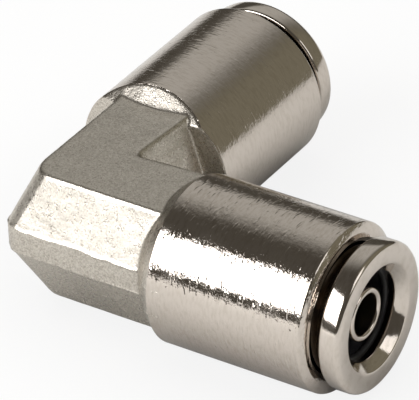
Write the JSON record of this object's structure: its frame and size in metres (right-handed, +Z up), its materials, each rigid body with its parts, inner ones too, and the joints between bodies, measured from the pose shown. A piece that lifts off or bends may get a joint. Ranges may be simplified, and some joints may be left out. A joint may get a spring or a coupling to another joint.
{
  "type": "push to connect union elbow",
  "caption": "Right-angle push-to-connect fitting that joins two 6.35 mm tubes, with a forged nickel-plated body and a release button on each port.",
  "frame": {"origin": "under the middle of the bounding box, at the level of the lowest line of the two hubs", "axes": "+X out of port A, +Y out of port B, +Z up and square to the plane of the two port axes"},
  "size_m": [0.0306, 0.0306, 0.0125],
  "materials": {
    "body_nickel": "nickel plating over brass, matt on the forged corner and satin on the turned hubs",
    "button_nickel": "polished nickel plating over brass",
    "support_nickel": "nickel plating over brass, satin",
    "guide_brass": "plain turned brass",
    "collet_acetal": "black acetal",
    "ring_steel": "stainless spring steel",
    "seal_rubber": "black nitrile rubber",
    "washer_ptfe": "white PTFE"
  },
  "bodies": {
    "fitting": {"elbow_body": "body_nickel", "tube_support_a": "support_nickel", "o_ring_a": "seal_rubber", "backup_washer_a": "washer_ptfe", "spacer_a": "guide_brass", "guide_a": "guide_brass", "tube_support_b": "support_nickel", "o_ring_b": "seal_rubber", "backup_washer_b": "washer_ptfe", "spacer_b": "guide_brass", "guide_b": "guide_brass"},
    "collet_a": {"collet_a": "collet_acetal", "grab_ring_a": "ring_steel", "wiper_a": "seal_rubber"},
    "button_a": {"release_button_a": "button_nickel"},
    "collet_b": {"collet_b": "collet_acetal", "grab_ring_b": "ring_steel", "wiper_b": "seal_rubber"},
    "button_b": {"release_button_b": "button_nickel"}
  },
  "joints": [
    {"name": "release_a", "type": "slide", "parent": "fitting", "child": "collet_a", "axis": [-1, 0, 0], "range_m": [0, 0.00074], "stiffness_N_per_m": 200, "springref_m": -0.0005},
    {"name": "button_a_spin", "type": "hinge", "parent": "collet_a", "child": "button_a", "pos_m": [0.01533, -0.00907, 0.00625], "axis": [1, 0, 0], "continuous": true},
    {"name": "release_b", "type": "slide", "parent": "fitting", "child": "collet_b", "axis": [0, -1, 0], "range_m": [0, 0.00074], "stiffness_N_per_m": 200, "springref_m": -0.0005},
    {"name": "button_b_spin", "type": "hinge", "parent": "collet_b", "child": "button_b", "pos_m": [-0.00907, 0.01533, 0.00625], "axis": [0, 1, 0], "continuous": true}
  ]
}
